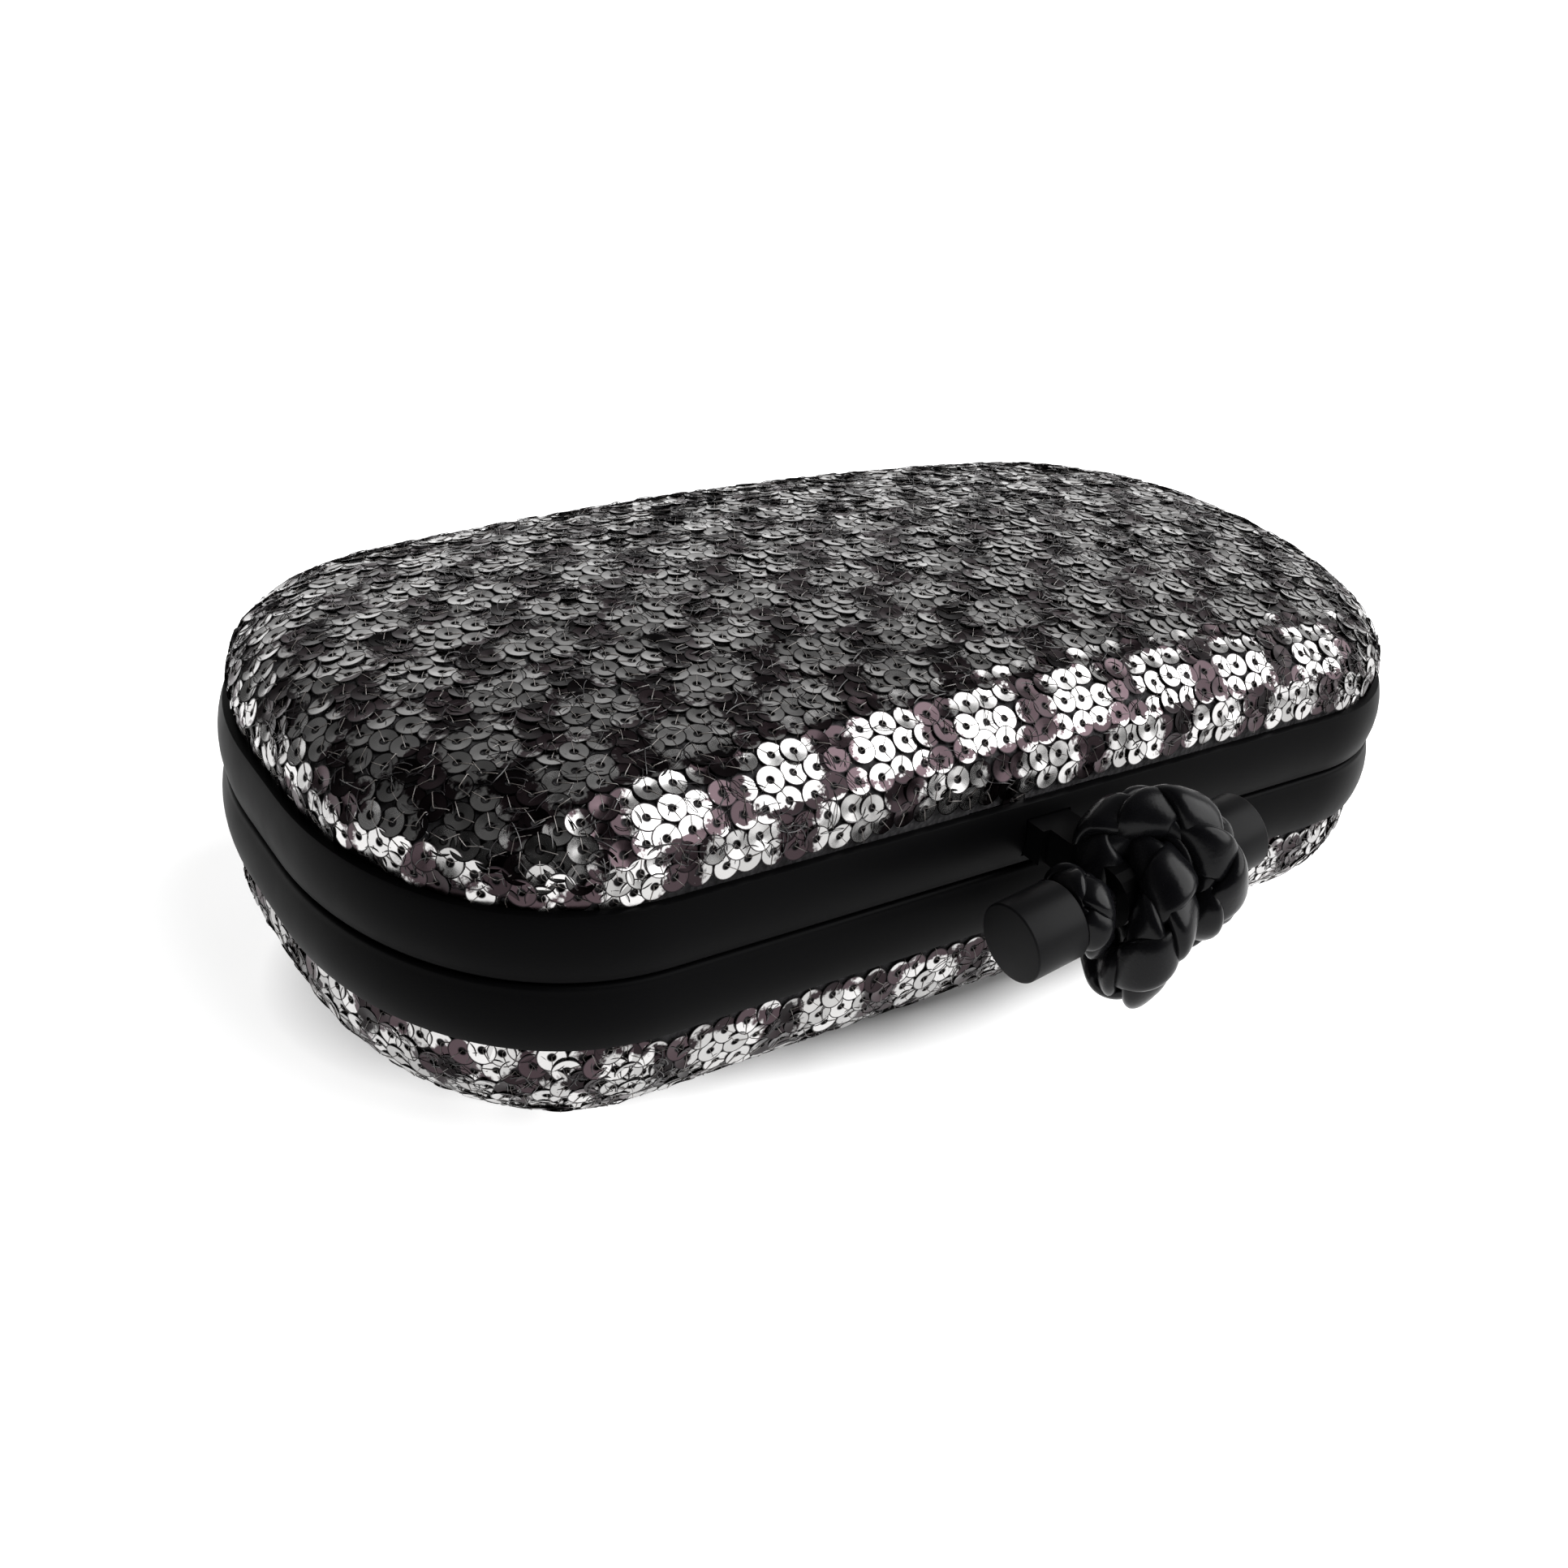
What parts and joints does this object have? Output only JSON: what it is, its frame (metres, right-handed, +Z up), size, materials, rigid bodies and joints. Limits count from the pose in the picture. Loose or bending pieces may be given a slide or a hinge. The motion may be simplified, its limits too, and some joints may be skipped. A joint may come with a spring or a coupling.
{
  "type": "evening bag",
  "caption": "Hard box clutch in two domed sequinned halves with black metal rails, hinged along the back and closed by a knotted push clasp.",
  "frame": {"origin": "centre of the flat underside, on the surface the bag rests on", "axes": "+X along the length, -Y towards the clasp at the front, +Y towards the hinge, +Z up through the lid"},
  "size_m": [0.2, 0.1437, 0.0615],
  "materials": {
    "black_metal": "satin black",
    "steel": "satin",
    "sequin_fabric": "silver and black sequins",
    "foam": "matte",
    "moulded_board": "matte",
    "suede_lining": "napped",
    "knot_leather": "smooth, soft sheen"
  },
  "bodies": {
    "case": {"lower_frame": "black_metal", "lower_shell": "moulded_board", "lower_padding": "foam", "lower_cover": "sequin_fabric", "lower_lining": "suede_lining", "strike_plate": "steel", "strike_screw_left": "steel", "strike_screw_right": "steel", "hinge_leaf_lower": "black_metal", "hinge_pin": "steel", "hinge_rivet_lower_left": "black_metal", "hinge_rivet_lower_middle": "black_metal", "hinge_rivet_lower_right": "black_metal"},
    "lid": {"upper_frame": "black_metal", "upper_shell": "moulded_board", "upper_padding": "foam", "upper_cover": "sequin_fabric", "upper_lining": "suede_lining", "latch_housing": "steel", "latch_spring": "steel", "latch_screw_left": "steel", "latch_screw_right": "steel", "hinge_leaf_upper": "black_metal", "hinge_rivet_upper_left": "black_metal", "hinge_rivet_upper_middle": "black_metal", "hinge_rivet_upper_right": "black_metal"},
    "clasp": {"clasp_lug": "black_metal", "clasp_rod": "steel", "clasp_cap_left": "black_metal", "clasp_cap_right": "black_metal", "clasp_knot": "knot_leather", "latch_hook": "steel", "hook_screw": "steel"}
  },
  "joints": [
    {"name": "lid_hinge", "type": "hinge", "parent": "case", "child": "lid", "pos_m": [0, 0.0572, 0.031], "axis": [-1, 0, 0], "range_deg": [0, 85]},
    {"name": "clasp_press", "type": "slide", "parent": "lid", "child": "clasp", "axis": [0, 1, 0], "range_m": [0, 0.002], "stiffness_N_per_m": 900, "springref_m": -0.002, "deforming": ["latch_spring"]}
  ]
}
